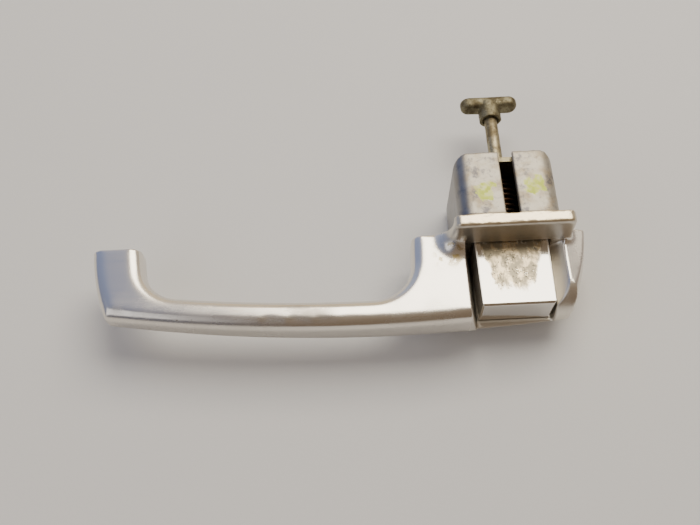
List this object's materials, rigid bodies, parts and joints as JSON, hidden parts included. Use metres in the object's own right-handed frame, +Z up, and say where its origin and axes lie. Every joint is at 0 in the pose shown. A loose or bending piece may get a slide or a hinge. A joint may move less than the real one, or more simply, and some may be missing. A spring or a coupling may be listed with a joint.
{
  "type": "car door handle",
  "caption": "Chromed pull handle for a car door with a push button, a split guide sleeve behind the door skin and a sprung plunger with a T-shaped end.",
  "frame": {"origin": "on the plunger's axis, in the plane where the handle sits on the door skin, at the middle of the opening that the sleeve passes through", "axes": "+X along the grip towards the button end, +Y through the door skin to the inside of the door, which is the way the button is pushed, +Z up"},
  "size_m": [0.1927, 0.104, 0.0416],
  "materials": {
    "cast_chrome": "worn chrome plate over zinc die casting, bare matte zinc on the sleeve",
    "button_chrome": "polished chrome plate with a worn, pitted patch on top",
    "seal_rubber": "black rubber sheet",
    "plated_steel": "tarnished yellow zinc plate",
    "plate_steel": "tarnished zinc-plated sheet",
    "head_steel": "dull tarnished plate with dirt in the corners",
    "pin_steel": "dull steel",
    "spring_steel": "dark spring wire with light rust"
  },
  "bodies": {
    "handle": {"handle_casting": "cast_chrome", "button_seal": "seal_rubber", "return_spring": "spring_steel", "retainer_plate": "plate_steel"},
    "button": {"push_button": "button_chrome", "spring_seat": "plated_steel", "plunger_shaft": "plated_steel", "plunger_head": "head_steel", "head_pin": "pin_steel"}
  },
  "joints": [
    {"name": "button_press", "type": "slide", "parent": "handle", "child": "button", "axis": [0, 1, 0], "range_m": [0, 0.008], "stiffness_N_per_m": 1000, "springref_m": -0.008, "deforming": ["return_spring"]}
  ]
}
